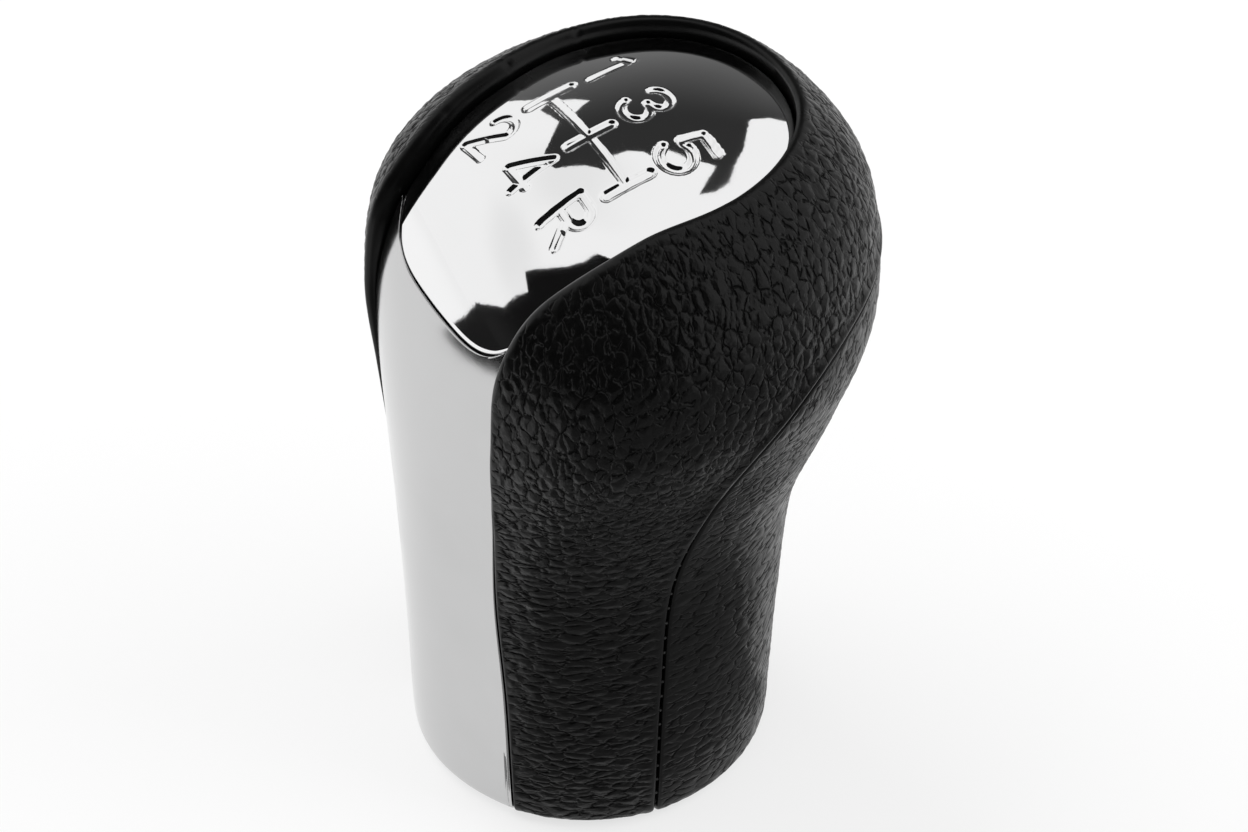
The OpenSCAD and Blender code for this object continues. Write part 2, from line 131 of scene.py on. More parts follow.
# %% A point of the skin, and the way it faces
def skin(ring, angle):
    ring, angle = np.broadcast_arrays(np.asarray(ring, float), np.asarray(angle, float))
    turn = np.radians(np.minimum(ring, 0) * 90)
    inset, drop = foot_round * (1 - np.cos(turn)), -foot_round * np.sin(turn)
    up = np.maximum(ring, 0)
    r = smooth(skin_rings, up) + np.stack([inset, -drop, -inset, -drop, -inset], -1)
    e, g = 2 / smooth(round_at, up)[..., 0], smooth(egg_at, up)[..., 0]
    x, y = power(np.cos(np.radians(angle)), e), power(np.sin(np.radians(angle)), e)
    return np.stack([r[..., 4] * x * (1 + g * y),
                     (r[..., 0] + r[..., 2] + (r[..., 2] - r[..., 0]) * y) / 2,
                     (r[..., 1] + r[..., 3] + (r[..., 3] - r[..., 1]) * y) / 2], -1)


def outward(ring, angle):
    h = 0.01
    return unit(np.cross(skin(ring, angle + 20 * h) - skin(ring, angle - 20 * h),
                         skin(ring + h, angle) - skin(ring - h, angle)))


# %% Lines on the skin, by their share u: below zero they turn in under the foot
def on_line(line, u):
    p = along(line, u)
    return np.where(u < 0, u, p[..., 0]), np.where(u < 0, line[0, 1], p[..., 1])


def at_opening(u):
    return on_line(opening, u)


def at_seam(u):
    return on_line(seam, u)


def at_front(u):
    return np.where(u < 0, u, along(front_line, u)[..., 0]), np.full(np.shape(u), 90.0)


# %% The bright trim's own lines: how deep it sinks, its middle, its edge and its face
def plate_share(u):
    return np.maximum(0, along(sink_at, u)[..., 0])


def toward_plate(u):
    return np.clip((np.asarray(u) - thin_from) / thin_run, 0, 1)


def trim_deep(u):
    return shank_sink + (plate_sink - shank_sink) * plate_share(u)


def trim_thick(u):
    return spine_t + (plate_t - spine_t) * toward_plate(u)


def trim_mid(u):
    p, turn = along(trim_line, u), np.radians(np.minimum(u, 0) * 90)
    return np.stack([0 * turn, p[..., 0] + foot_round * (1 - np.cos(turn)),
                     p[..., 1] + foot_round * np.sin(turn)], -1)


def trim_out(u):
    h = 0.002
    u1 = np.minimum(u, 1 - h)
    d = trim_mid(u1 + h) - trim_mid(u1 - h)
    return unit(np.stack([0 * d[..., 0], -d[..., 2], d[..., 1]], -1))


def wall_out(u):
    f = toward_plate(u)[..., None]
    return unit(outward(*at_opening(u)) * (1 - f) + trim_out(u) * f)


def trim_edge(u, side):
    p = skin(*at_opening(u)) - wall_out(u) * trim_deep(u)[..., None]
    return p - unit(p - trim_mid(u)) * side


def trim_face(u, q, side):
    u, q = np.broadcast_arrays(np.asarray(u, float), np.asarray(q, float))
    q = q[..., None]
    c, w = trim_mid(u), trim_out(np.maximum(u, 0))
    d = trim_edge(u, side) - c
    rise = w * np.sum(d * w, -1, keepdims=True)
    return c + (d - rise) * q + rise * q * q


def gap_share(q):
    return gap_at + gap_rise * q ** 5


# %% [markdown]
# ## From points to a closed piece
# A fine face outside and a coarse one inside make a light shell: the look needs many small faces
# only where the eye falls. The two are joined round their borders by long faces that share every
# border point, so nothing is left open.

# %% Make an object from points and faces
def add_piece(name, points, faces, slot, replaces):
    mesh = bpy.data.meshes.new(name)
    mesh.from_pydata((np.asarray(points) * MM).tolist(), [], faces)
    bm = bmesh.new()
    bm.from_mesh(mesh)
    bmesh.ops.recalc_face_normals(bm, faces=bm.faces)
    bm.to_mesh(mesh)
    bm.free()
    mesh.polygons.foreach_set("use_smooth", [True] * len(mesh.polygons))
    piece = bpy.data.objects.new(name, mesh)
    bpy.context.scene.collection.objects.link(piece)
    piece["slot_name"], piece["stands_for"] = slot, replaces
    print(name, len(mesh.vertices), "points", len(mesh.polygons), "faces")
    return piece


def picks(count, stride):
    return np.unique(np.append(np.arange(0, count, stride), count - 1))


def border(rows, cols):
    return np.concatenate([np.arange(cols - 1), np.arange(rows - 1) * cols + cols - 1,
                           (rows - 1) * cols + np.arange(cols - 1, 0, -1),
                           np.arange(rows - 1, 0, -1) * cols])


def quads(rows, cols, base=0):
    i, j = np.meshgrid(np.arange(rows - 1), np.arange(cols - 1), indexing="ij")
    a = (base + i * cols + j).ravel()
    return np.stack([a, a + 1, a + cols + 1, a + cols], -1)


def shell(outer, inner, row_stride, col_stride, rims=()):
    rows, cols = outer.shape[:2]
    r, c = picks(rows, row_stride), picks(cols, col_stride)
    loop = border(rows, cols)
    count, size = len(loop), rows * cols
    points = [outer.reshape(-1, 3), *rims, inner[np.ix_(r, c)].reshape(-1, 3)]
    faces = quads(rows, cols).tolist()
    for k in range(len(rims)):
        ring = size + k * count + np.arange(count)
        faces += np.stack([np.roll(loop, -1), loop, ring, np.roll(ring, -1)], -1).tolist()
        loop = ring
    base = size + len(rims) * count
    faces += quads(len(r), len(c), base)[:, ::-1].tolist()
    stops = np.concatenate([c[:-1], cols - 1 + r[:-1], cols + rows - 2 + (cols - 1 - c[:0:-1]),
                            2 * cols + rows - 3 + (rows - 1 - r[:0:-1]), [count]])
    under = base + border(len(r), len(c))
    for k in range(len(under)):
        side = loop[np.arange(stops[k], stops[k + 1] + 1) % count]
        faces.append(side[::-1].tolist() + [int(under[k]), int(under[(k + 1) % len(under)])])
    return np.concatenate(points), faces


def mirrored(grid):
    return grid * np.array([-1.0, 1.0, 1.0])


def even_shares(start, end, count, speed):
    u = np.linspace(start, end, 4001)
    total = np.concatenate([[0], np.cumsum((speed(u)[1:] + speed(u)[:-1]) / 2 * np.diff(u))])
    return np.interp(np.linspace(0, total[-1], count), total, u)


def travel(path):
    h = 1e-4
    return lambda u: np.linalg.norm(path(u + h) - path(u - h), axis=-1) / (2 * h)


def skin_travel(line):
    return travel(lambda u: skin(*line(u)))

# %% [markdown]
# ## The leather
# Real leather here is one wrap over the head and sides, and one tongue up the front. Its edges
# roll over into the opening and down into the seam. The panels could be subdivided from the
# solids, but a facet that is only rounded still shows in a highlight, so each panel is drawn
# again from the loft at a fine pitch, with its rolled edges as true arcs.

# %% Place points on a panel between two lines of the skin
def pace(a, b):
    h = 0.01
    ahead = skin(a[0] + (b[0] - a[0]) * h, a[1] + (b[1] - a[1]) * h)
    return np.linalg.norm(ahead - skin(*a), axis=-1) / h


def on_panel(a, b, v, deep, wall, share):
    ring, angle = a[0] + (b[0] - a[0]) * v, a[1] + (b[1] - a[1]) * v
    way = unit(outward(ring, angle) * (1 - share[..., None]) + wall * share[..., None])
    return skin(ring, angle) - way * deep[..., None]


def arc(count):
    return np.radians(np.linspace(0, 90, count))


def panel_rows(count, line):
    def speed(u):
        return 0.5 * skin_travel(line)(u) + 0.5 * skin_travel(at_seam)(u)

    return np.concatenate([np.linspace(-1, 0, 7)[:-1], even_shares(0, 1, count, speed)])


def store_mask(piece, grain):
    values = np.zeros(len(piece.data.vertices))
    values[:grain.size] = grain.ravel()
    piece.data.attributes.new("grain", "FLOAT", "POINT").data.foreach_set("value", values)


# %% The sewn edge of both panels: drawn tight over the head, with a soft ridge beside it
sewn_points, sewn_roll, pared, ridge_w = 7, 0.4, 0.1, 0.4


def drawn_tight(u):
    return step(0.28, 0.42, u)[:, None]


def slit_of(u):
    return seam_slit * (1 - 0.7 * drawn_tight(u))


def sewn_edge(slit, inside, zero):
    t = arc(sewn_points - 1)[None]
    d, h = slit + sewn_roll * (1 - np.sin(t)) + zero, sewn_roll * (1 - np.cos(t)) + zero
    if inside:
        d, h = d + (leather_t - pared) * step(0, 0.6, t), np.maximum(h, leather_t + zero)
    return np.concatenate([d, d[:, -1:]], 1), np.concatenate([h, fold_h + zero], 1)


def ridge(from_seam, at, tall):
    return tall * np.exp(-((from_seam - at) / ridge_w) ** 2)


# %% The wrap: a rolled lip, the field and the edge that is sewn
lip_points, field_points, wrap_rows = 9, 112, 330
lip_low, least_roll, wall_short = 0.35, 0.05, 0.7


def wrap_grid(u, inside):
    a, b = [[p[:, None] for p in line(u)] for line in (at_opening, at_seam)]
    pa, pb = pace(a, b), pace(b, a)
    zero, wide, tight, slit = 0 * pa, plate_share(u)[:, None], drawn_tight(u), slit_of(u)
    r = lip_low + (plate_roll - lip_low) * wide
    t = arc(lip_points - 1)[None]
    small = np.maximum(r - leather_t, least_roll) if inside else r
    lip_d, lip_h = r - small * np.cos(t), r - small * np.sin(t)
    wall_h = (trim_deep(u) + trim_thick(u))[:, None] + cover_gap - wall_short
    d1 = np.concatenate([lip_d[:, :1], lip_d], 1)
    h1 = np.concatenate([wall_h, lip_h], 1)
    s1 = np.concatenate([1 + zero, 1 - t / t.max() + zero], 1)
    v0, v1 = r / pa, 1 - (sewn_roll + slit) / pb
    field = v0 + (v1 - v0) * (np.arange(1, field_points + 1) / (field_points + 1))[None]
    d3, h3 = sewn_edge(slit, inside, zero)
    v = np.concatenate([d1 / pa, field, 1 - d3 / pb], 1)
    h = np.concatenate([h1, np.full(field.shape, leather_t if inside else 0.0), h3], 1)
    share = np.concatenate([s1, np.zeros((len(u), v.shape[1] - s1.shape[1]))], 1)
    from_lip, from_seam = v * pa, (1 - v) * pb
    if not inside:
        h = h - ridge(from_seam, 0.95 - 0.25 * tight, 0.05 + 0.1 * tight)
    grain = step(0.25 + 0.5 * wide, 1.0 + 1.6 * wide, from_lip) * step(0.5, 1.7, from_seam)
    return on_panel(a, b, v, h, wall_out(u)[:, None, :], share), grain


wrap_u = panel_rows(wrap_rows, at_opening)
outer, grain = wrap_grid(wrap_u, False)
inner, _ = wrap_grid(wrap_u, True)
outer = np.concatenate([outer, mirrored(outer[-2::-1])])
inner = np.concatenate([inner, mirrored(inner[-2::-1])])

# %% [markdown]
# Where the lip is stretched over the tight bend beside the plate, the leather puckers in a few
# short tucks. They are dents in the mesh itself, because a tuck is deep enough to break the
# outline of the lip.

# %% Dent the lip with its tucks
tucks = [((-13.9, 0.4), 0.5), ((-14.2, 7.5), 0.45), ((-12.9, -6.0), 0.25)]
tuck_hub, tuck_w, head_from = np.array([0.0, 3.0]), 0.22, 60


def tuck_dents(points):
    for spot, deep in tucks:
        way = unit(np.array(spot) - tuck_hub)
        side = np.array([-way[1], way[0]])
        rel = points[..., :2] - np.array(spot)
        across, out = rel @ side, rel @ way
        dent = (deep * np.exp(-(across / tuck_w) ** 2) * step(-2.0, 0.0, out)
                * (1 - step(0.6, 3.4, out)))
        points[..., 2] -= np.where(points[..., 2] > head_from, dent, 0)
    return points


points, faces = shell(tuck_dents(outer), inner, row_stride=10, col_stride=8)
leather_wrap = add_piece("leather_wrap_skin", points, faces, "wrap_leather", "leather_wrap")
store_mask(leather_wrap, np.concatenate([grain, grain[-2::-1]]))

# %% The tongue up the front, sewn edge to sewn edge
front_rows, front_field = 190, 78


def front_grid(u, inside):
    a, b = [[p[:, None] for p in line(u)] for line in (at_front, at_seam)]
    pb, zero, slit = pace(b, a), np.zeros((len(u), 1)), slit_of(u)
    field = (1 - (sewn_roll + slit) / pb) * (np.arange(front_field + 1) / (front_field + 1))[None]
    d3, h3 = sewn_edge(slit, inside, zero)
    v = np.concatenate([field, 1 - d3 / pb], 1)
    h = np.concatenate([np.full(field.shape, leather_t if inside else 0.0), h3], 1)
    from_seam = (1 - v) * pb
    if not inside:
        h = h - ridge(from_seam, 1.3, 0.03)
    return on_panel(a, b, v, h, np.zeros(3), 0 * v), step(0.3, 0.9, from_seam)


front_u = panel_rows(front_rows, at_front)
outer, grain = front_grid(front_u, False)
inner, _ = front_grid(front_u, True)
outer = np.concatenate([mirrored(outer[:, :0:-1]), outer], 1)
inner = np.concatenate([mirrored(inner[:, :0:-1]), inner], 1)
points, faces = shell(outer, inner, row_stride=10, col_stride=8)
leather_front = add_piece("leather_front_skin", points, faces, "front_leather", "leather_front")
store_mask(leather_front, np.concatenate([grain[:, :0:-1], grain], 1))

# %% [markdown]
# ## Grain
# Pressed grain is a net of fine creases between small pads. The skin is stretched sideways over
# the shank, so the pads are wide and low there. Over the head it is drawn outward from the
# middle, and the pads lengthen that way. Each point of the two panels stores its own place in
# that net, and a node tree presses the creases into the mesh. The material reads the same net
# later, for creases finer than the mesh can carry.

# %% Store the place of every point in the net of pads
shank_pad, head_pad, hub, pull = (1.9, 1.05), (0.9, 1.7), (0.0, 3.0), (13.0, 0.5)
climb, climb_step = np.linspace(-1, 82, 831), 0.1
pad_wide, pad_tall = [a + (b - a) * step(28, 54, climb) for a, b in zip(shank_pad, head_pad)]
climb_pads = np.cumsum(climb_step / pad_tall)


def store_net(piece):
    mesh = piece.data
    at = np.empty(len(mesh.vertices) * 3)
    mesh.vertices.foreach_get("co", at)
    at = at.reshape(-1, 3) / MM
    way = at[:, :2] - hub
    out = np.maximum(np.linalg.norm(way, axis=1), 1.0)
    way *= ((np.minimum(out, pull[0]) + pull[1] * np.maximum(out - pull[0], 0)) / out)[:, None]
    way /= np.interp(at[:, 2], climb, pad_wide)[:, None]
    net = np.stack([way[:, 0], way[:, 1], np.interp(at[:, 2], climb, climb_pads)], -1)
    mesh.attributes.new("net", "FLOAT_VECTOR", "POINT").data.foreach_set("vector", net.ravel())
    print(piece.name, "net runs over", np.round(np.ptp(net, axis=0), 1), "pads")


for piece in (leather_wrap, leather_front):
    store_net(piece)

# %% Short ways to add nodes and links to any tree
def add(tree, kind, inputs=None, **values):
    node = tree.nodes.new(kind)
    for key, value in values.items():
        setattr(node, key, value)
    for key, value in (inputs or {}).items():
        node.inputs[key].default_value = value
    return node


def join(tree, *pairs):
    for source, target in pairs:
        tree.links.new(source, target)


def feed(tree, node, values):
    for socket, value in zip(node.inputs, values):
        if isinstance(value, (int, float)):
            socket.default_value = value
        else:
            tree.links.new(value, socket)
    return node.outputs[0]


def maths(tree, operation, a, b):
    return feed(tree, add(tree, "ShaderNodeMath", operation=operation), (a, b))


def times(tree, a, b):
    return maths(tree, "MULTIPLY", a, b)


def ramp(tree, value, low, high, to_low=0.0, to_high=1.0):
    node = add(tree, "ShaderNodeMapRange", interpolation_type="SMOOTHSTEP")
    return feed(tree, node, (value, low, high, to_low, to_high))


# %% The net itself: how far a place is from the nearest crease, in pads
wander = 0.9


def crease_distance(tree, net):
    noise = add(tree, "ShaderNodeTexNoise", {"Scale": 0.9, "Detail": 2.0}, noise_dimensions="3D")
    off = add(tree, "ShaderNodeVectorMath", {1: (0.5, 0.5, 0.5)}, operation="SUBTRACT")
    moved = add(tree, "ShaderNodeVectorMath", {1: (wander,) * 3}, operation="MULTIPLY_ADD")
    pads = add(tree, "ShaderNodeTexVoronoi", {"Scale": 1.0, "Randomness": 1.0},
               voronoi_dimensions="3D", feature="DISTANCE_TO_EDGE")
    join(tree, (net, noise.inputs["Vector"]), (noise.outputs["Color"], off.inputs[0]),
         (off.outputs[0], moved.inputs[0]), (net, moved.inputs[2]),
         (moved.outputs[0], pads.inputs["Vector"]))
    return pads.outputs["Distance"]


# %% A tree that presses the creases into a panel
def new_tree(name, numbers):
    tree = bpy.data.node_groups.new(name, "GeometryNodeTree")
    tree.interface.new_socket("Geometry", in_out="INPUT", socket_type="NodeSocketGeometry")
    tree.interface.new_socket("Geometry", in_out="OUTPUT", socket_type="NodeSocketGeometry")
    for label in numbers:
        tree.interface.new_socket(label, in_out="INPUT", socket_type="NodeSocketFloat")
    tree.interface.new_socket("Material", in_out="INPUT", socket_type="NodeSocketMaterial")
    return tree, add(tree, "NodeGroupInput"), add(tree, "NodeGroupOutput")


def closing(tree, geometry, source, sink):
    real, finish = add(tree, "GeometryNodeRealizeInstances"), add(tree, "GeometryNodeSetMaterial")
    join(tree, (geometry, real.inputs[0]), (real.outputs[0], finish.inputs[0]),
         (source.outputs["Material"], finish.inputs["Material"]),
         (finish.outputs[0], sink.inputs[0]))


def named(tree, name, kind):
    node = add(tree, "GeometryNodeInputNamedAttribute", {"Name": name}, data_type=kind)
    return node.outputs["Attribute"]


grain_tree, source, sink = new_tree("press_grain", ("Depth", "Crease width"))
distance = crease_distance(grain_tree, named(grain_tree, "net", "FLOAT_VECTOR"))
crease = ramp(grain_tree, distance, 0.0, source.outputs["Crease width"], 1.0, 0.0)
deep = times(grain_tree, times(grain_tree, crease, named(grain_tree, "grain", "FLOAT")),
             times(grain_tree, source.outputs["Depth"], -1.0))
offset = add(grain_tree, "ShaderNodeVectorMath", operation="SCALE")
place = add(grain_tree, "GeometryNodeSetPosition")
join(grain_tree, (add(grain_tree, "GeometryNodeInputNormal").outputs[0], offset.inputs[0]),
     (deep, offset.inputs["Scale"]), (source.outputs["Geometry"], place.inputs["Geometry"]),
     (offset.outputs[0], place.inputs["Offset"]))
closing(grain_tree, place.outputs[0], source, sink)


# %% Run a tree on an object and keep only the plain mesh
def settle(piece, tree, material, numbers):
    modifier = piece.modifiers.new(tree.name, "NODES")
    modifier.node_group = tree
    values = {**numbers, "Material": material}
    for item in tree.interface.items_tree:
        if item.in_out == "INPUT" and item.name in values:
            modifier[item.identifier] = values[item.name]
    bpy.context.view_layer.update()
    seen = piece.evaluated_get(bpy.context.evaluated_depsgraph_get())
    mesh = bpy.data.meshes.new_from_object(seen)
    piece.modifiers.clear()
    old, piece.data = piece.data, mesh
    bpy.data.meshes.remove(old)
    print(piece.name, "settled with", len(mesh.polygons), "faces")

# %% [markdown]
# ## The bright trim
# Polished metal shows every small change of curve as a kink in its reflections. Each face is
# therefore one low polynomial fitted to the solid's own face: it stays within about a fifth of a
# millimetre of the solid and bends without a ripple from edge to edge.

# %% Fit a smooth face to sampled points
def waves(x, y, pairs, powers):
    return np.stack([x ** (2 * i) * y ** j for i in range(pairs) for j in range(powers)
                     if 2 * i + j < 2 * pairs + powers - 4], -1)


def fitted(x, y, z, scale, pairs, powers):
    base = waves(x / scale[0], (y - scale[1]) / scale[2], pairs, powers)
    best = np.linalg.lstsq(base.reshape(-1, base.shape[-1]), z.ravel(), rcond=1e-9)[0]
    print("face fitted within", round(float(np.abs(base @ best - z).max()), 3), "mm")
    return lambda a, b: waves(a / scale[0], (b - scale[1]) / scale[2], pairs, powers) @ best


def normals_of(grid):
    return unit(np.cross(np.gradient(grid, axis=1), np.gradient(grid, axis=0)))


# %% Lay the plate's face down, so that its height is one function of two directions
lean = math.radians(25)


def tilted(p, turn):
    c, s = math.cos(turn), math.sin(turn)
    return np.stack([p[..., 0], p[..., 1] * c + p[..., 2] * s, p[..., 2] * c - p[..., 1] * s], -1)


def laid(p):
    return tilted(p, lean)


def stood(p):
    return tilted(p, -lean)


def sampled(start, end):
    share, across = np.meshgrid(np.linspace(start, end, 161), np.linspace(0, 1, 41), indexing="ij")
    return trim_face(share, across, 0.0)


x, y, z = np.moveaxis(laid(sampled(0.36, 1)), -1, 0)
plate_height = fitted(x, y, z, scale=(15, 32, 22), pairs=4, powers=7)
x, y, z = np.moveaxis(sampled(0, 0.47), -1, 0)
spine_depth = fitted(x, z, y, scale=(14, 34, 34), pairs=4, powers=8)


# %% Points of the two faces, their walls and their rounded rims
def sided(p, q):
    return p * np.stack([np.sign(q) + 0 * p[..., 0], 1 + 0 * p[..., 0], 1 + 0 * p[..., 0]], -1)


def plate_face(u, q, side):
    flat = laid(sided(trim_face(u, np.abs(q), side), q))
    flat[..., 2] = plate_height(flat[..., 0], flat[..., 1])
    return stood(flat)


def spine_face(u, q, side):
    p = sided(trim_face(np.maximum(u, 0), np.abs(q), side), q)
    moved = sided(trim_face(u, np.abs(q), side), q) - p
    p[..., 1] = spine_depth(p[..., 0], p[..., 2])
    return p + moved


def wall_way(u, q):
    q2 = (q * q)[..., None]
    return sided(unit(trim_out(u) * (1 - q2) + wall_out(u) * q2), np.where(q == 0, 1, q))


bevel_r, scribe_share = 0.35, 0.6
scribe_steps = ((0.12, 0), (0.2, 1), (0.42, 1), (0.5, 0), (scribe_share, 0))


def rim_rings(inset, edge, way, thick, scribe=None):
    flat, rings = 0.0, []
    if scribe is not None:
        flat = scribe_share
        rings = [inset + (edge - inset) * part - way * (scribe * deep)[:, None]
                 for part, deep in scribe_steps]
    for turn in np.radians([30, 60, 90]):
        part = flat + (1 - flat) * math.sin(turn)
        rings.append(inset + (edge - inset) * part
                     - way * bevel_r * (1 - flat) * (1 - math.cos(turn)))
    return rings + [edge - way * (bevel_r + thick[:, None]) / 2, edge - way * thick[:, None]]


def around(low, right, high, left):
    return np.concatenate([low[:-1], right[:-1], high[:0:-1], left[:0:-1]])

# %% [markdown]
# The plate is a four sided patch between the gap, two flanks and the rounded tip. A patch keeps
# its rows and columns even all over, where rings round a pole would pinch the reflections.

# %% Rows and columns of the plate, close together where the pattern is milled
plate_cols, tip_at = 229, 0.8
dense_low, dense_high = 0.275, 0.793
plate_rows = np.concatenate([np.linspace(0, dense_low, 38)[:-1],
                             np.linspace(dense_low, dense_high, 150)[:-1],
                             np.linspace(dense_high, 1, 30)])


def plate_loops(side, lift):
    q = np.linspace(-1, 1, plate_cols)
    low_u = gap_share(np.abs(q)) + (trim_gap / 2 + lift) / gap_pace
    flank_u = even_shares(low_u[0], tip_at, 2001, travel(lambda w: trim_edge(w, side)))
    flank_u = np.interp(plate_rows, np.linspace(0, 1, 2001), flank_u)
    half = even_shares(tip_at, 1, plate_cols // 2 + 1, travel(lambda w: trim_edge(w, side)))
    high_u = np.concatenate([half, half[-2::-1]])
    high_q = np.where(np.arange(plate_cols) < plate_cols // 2, -1.0, 1.0)
    ones = np.ones(len(flank_u))
    return [(low_u, q), (flank_u, ones), (high_u, high_q), (flank_u, -ones)]


inset_loops = plate_loops(cover_gap + bevel_r, bevel_r)
edge_loops = plate_loops(cover_gap, 0.0)
low, right, high, left = [laid(plate_face(u, q, cover_gap + bevel_r)) for u, q in inset_loops]
s, t = np.linspace(0, 1, plate_cols)[None, :, None], plate_rows[:, None, None]
patch = ((1 - t) * low[None] + t * high[None] + (1 - s) * left[:, None] + s * right[:, None]
         - (1 - s) * (1 - t) * low[0] - s * (1 - t) * low[-1]
         - (1 - s) * t * high[0] - s * t * high[-1])
patch[..., 2] = plate_height(patch[..., 0], patch[..., 1])
plate_grid = stood(patch)

# %% [markdown]
# ## The shift pattern
# Numbers and tracks are milled into the plate: a flat bottom with sloping walls. Text objects
# would give somebody's letter shapes and ragged booleans on a curved face. Each mark is a stroke
# here, a path with a width, and the face sinks by its distance from the nearest path.

# %% Strokes of the six marks and the tracks between them
def bow(centre, radius, start, end, count=18):
    a = np.radians(np.linspace(start, end, count))
    return [(centre[0] + radius[0] * math.cos(v), centre[1] + radius[1] * math.sin(v)) for v in a]


mark_w, bar_w, track_w, cut_h, cut_slope = 1.1, 1.45, 0.95, 0.3, 0.34
strokes = [
    (mark_w, [(-10.2, 9.4), (-8.7, 10.4), (-8.2, 5.5)]),
    (mark_w, bow((-0.95, 9.2), (1.6, 1.15), 175, -80) + bow((-0.75, 6.65), (1.75, 1.35), 95, -170)),
    (mark_w, [(9.0, 10.4), (5.9, 10.4), (5.6, 8.1)] + bow((7.25, 6.8), (1.9, 1.6), 125, -160)),
    (mark_w, bow((-8.3, -4.35), (1.6, 1.4), 175, -10) + [(-10.1, -7.5), (-6.5, -7.5)]),
    (mark_w, [(0.2, -7.5), (0.2, -2.9), (-2.6, -6.4), (1.1, -6.4)]),
    (mark_w, [(5.9, -7.3), (5.8, -2.9)] + bow((7.7, -4.05), (1.4, 1.15), 90, -90) + [(5.85, -5.2)]),
    (mark_w, [(7.6, -5.3), (9.1, -7.3)]),
    (bar_w, [(-8.6, -1.05), (-8.6, 3.55)]), (bar_w, [(-0.1, -1.05), (-0.1, 3.55)]),
    (bar_w, [(7.8, -1.05), (7.8, 3.55)]), (track_w, [(-8.6, 1.1), (7.8, 1.1)])]


def from_path(x, y, path):
    best = np.full(x.shape, 1e9)
    for (ax, ay), (bx, by) in zip(path[:-1], path[1:]):
        dx, dy = bx - ax, by - ay
        f = np.clip(((x - ax) * dx + (y - ay) * dy) / (dx * dx + dy * dy), 0, 1)
        best = np.minimum(best, np.hypot(x - ax - f * dx, y - ay - f * dy))
    return best


def cut_depth(x, y):
    reach = np.full(x.shape, -1e9)
    for wide, path in strokes:
        reach = np.maximum(reach, wide / 2 - from_path(x, y, path))
    return cut_h * step(0, cut_slope, reach)


cut = cut_depth(plate_grid[..., 0], plate_grid[..., 1])
print("pattern covers", round(float((cut > 0).mean() * 100), 1), "% of the plate's points")

# %% Build the plate with its rim, underside and pegs
plate_way = normals_of(plate_grid)
plate_way *= np.sign(plate_way[..., 2:3])
top = plate_grid - plate_way * cut[..., None]
inset, edge, way = [around(*part) for part in (
    [plate_face(u, q, cover_gap + bevel_r) for u, q in inset_loops],
    [plate_face(u, q, cover_gap) for u, q in edge_loops],
    [wall_way(u, q) for u, q in edge_loops])]
rings = rim_rings(inset, edge, way, np.full(len(edge), plate_t))
points, faces = shell(top, plate_grid - plate_way * plate_t, 8, 8, rings)
shift_plate = add_piece("shift_plate_face", points, faces, "plate_chrome", "shift_plate")


def add_solid(piece, make, **sizes):
    bm = bmesh.new()
    bm.from_mesh(piece.data)
    make(bm, **sizes)
    bm.to_mesh(piece.data)
    bm.free()


peg_d, peg_l, pegs_at = 3.0, 5.0, ((0.62, 0.55), (0.86, 0.6))
peg_long = (peg_l + plate_t / 2) * MM
for u, q in pegs_at:
    for hand in (-1.0, 1.0):
        root = sided(trim_face(np.array(u), np.array(q), cover_gap), np.array(hand))
        root = (root - wall_way(np.array(u), np.array(q * hand)) * plate_t / 2) * MM
        add_solid(shift_plate, bmesh.ops.create_cone, cap_ends=True, segments=24,
                  radius1=peg_d / 2 * MM, radius2=peg_d / 2 * MM, depth=peg_long,
                  matrix=Matrix.Translation(Vector(root) - Vector((0, 0, peg_long / 2))))

# %% [markdown]
# The spine runs from under the foot up to the gap, round one soft roll at the foot. Its two hooks
# catch in the core and its tongue sits in a slot. They are plain blocks, because nobody sees them.

# %% Build the spine with its rim and hooks
spine_cols, rim_w, roll_t, roll_end, scribe_deep, scribe_top = 65, 0.55, 1.6, 0.03, 0.25, 9.0
spine_rows = np.concatenate([np.linspace(-1, 0, 9)[:-1], np.linspace(0, 1, 170)])


def spine_places(rows, q, drop):
    end = gap_share(np.abs(q)) - (trim_gap / 2 + drop) / gap_pace
    return np.where(rows < 0, rows, end * np.maximum(rows, 0))


def spine_loops(drop):
    q, rows, ones = np.linspace(-1, 1, spine_cols), spine_rows, np.ones(len(spine_rows))
    return [(spine_places(rows[0], q, drop), q), (spine_places(rows, ones, drop), ones),
            (spine_places(rows[-1], q, drop), q), (spine_places(rows, -ones, drop), -ones)]


rows, q = np.meshgrid(spine_rows, np.linspace(-1, 1, spine_cols), indexing="ij")
u = spine_places(rows, q, rim_w)
spine_grid = spine_face(u, q, cover_gap + rim_w)
spine_thick = np.where(u < roll_end, roll_t + (spine_t - roll_t) * np.clip(u / roll_end, 0, 1),
                       trim_thick(u))
inset, edge, way = [around(*part) for part in (
    [spine_face(u1, q1, cover_gap + rim_w) for u1, q1 in spine_loops(rim_w)],
    [spine_face(u1, q1, cover_gap) for u1, q1 in spine_loops(0.0)],
    [wall_way(u1, q1) for u1, q1 in spine_loops(0.0)])]
loop = border(*spine_grid.shape[:2])
scribe = scribe_deep * (1 - step(scribe_top - 0.5, scribe_top + 0.5, inset[:, 2]))
rings = rim_rings(inset, edge, way, spine_thick.ravel()[loop], scribe)
under = spine_grid - wall_way(u, q) * spine_thick[..., None]
points, faces = shell(spine_grid, under, 6, 6, rings)
spine = add_piece("spine_face", points, faces, "spine_chrome", "spine_trim")

hook_w, hook_h, catch_h, hook_reach, root_lap, tongue_l = 5.0, 2.0, 0.8, 1.1, 0.4, 6.0
core_wall, hooks_at, tongue_z = 2.6, (9, 27), mid_z + 1.5
cavity_r = foot_r - shank_sink - spine_t - cover_gap - core_wall


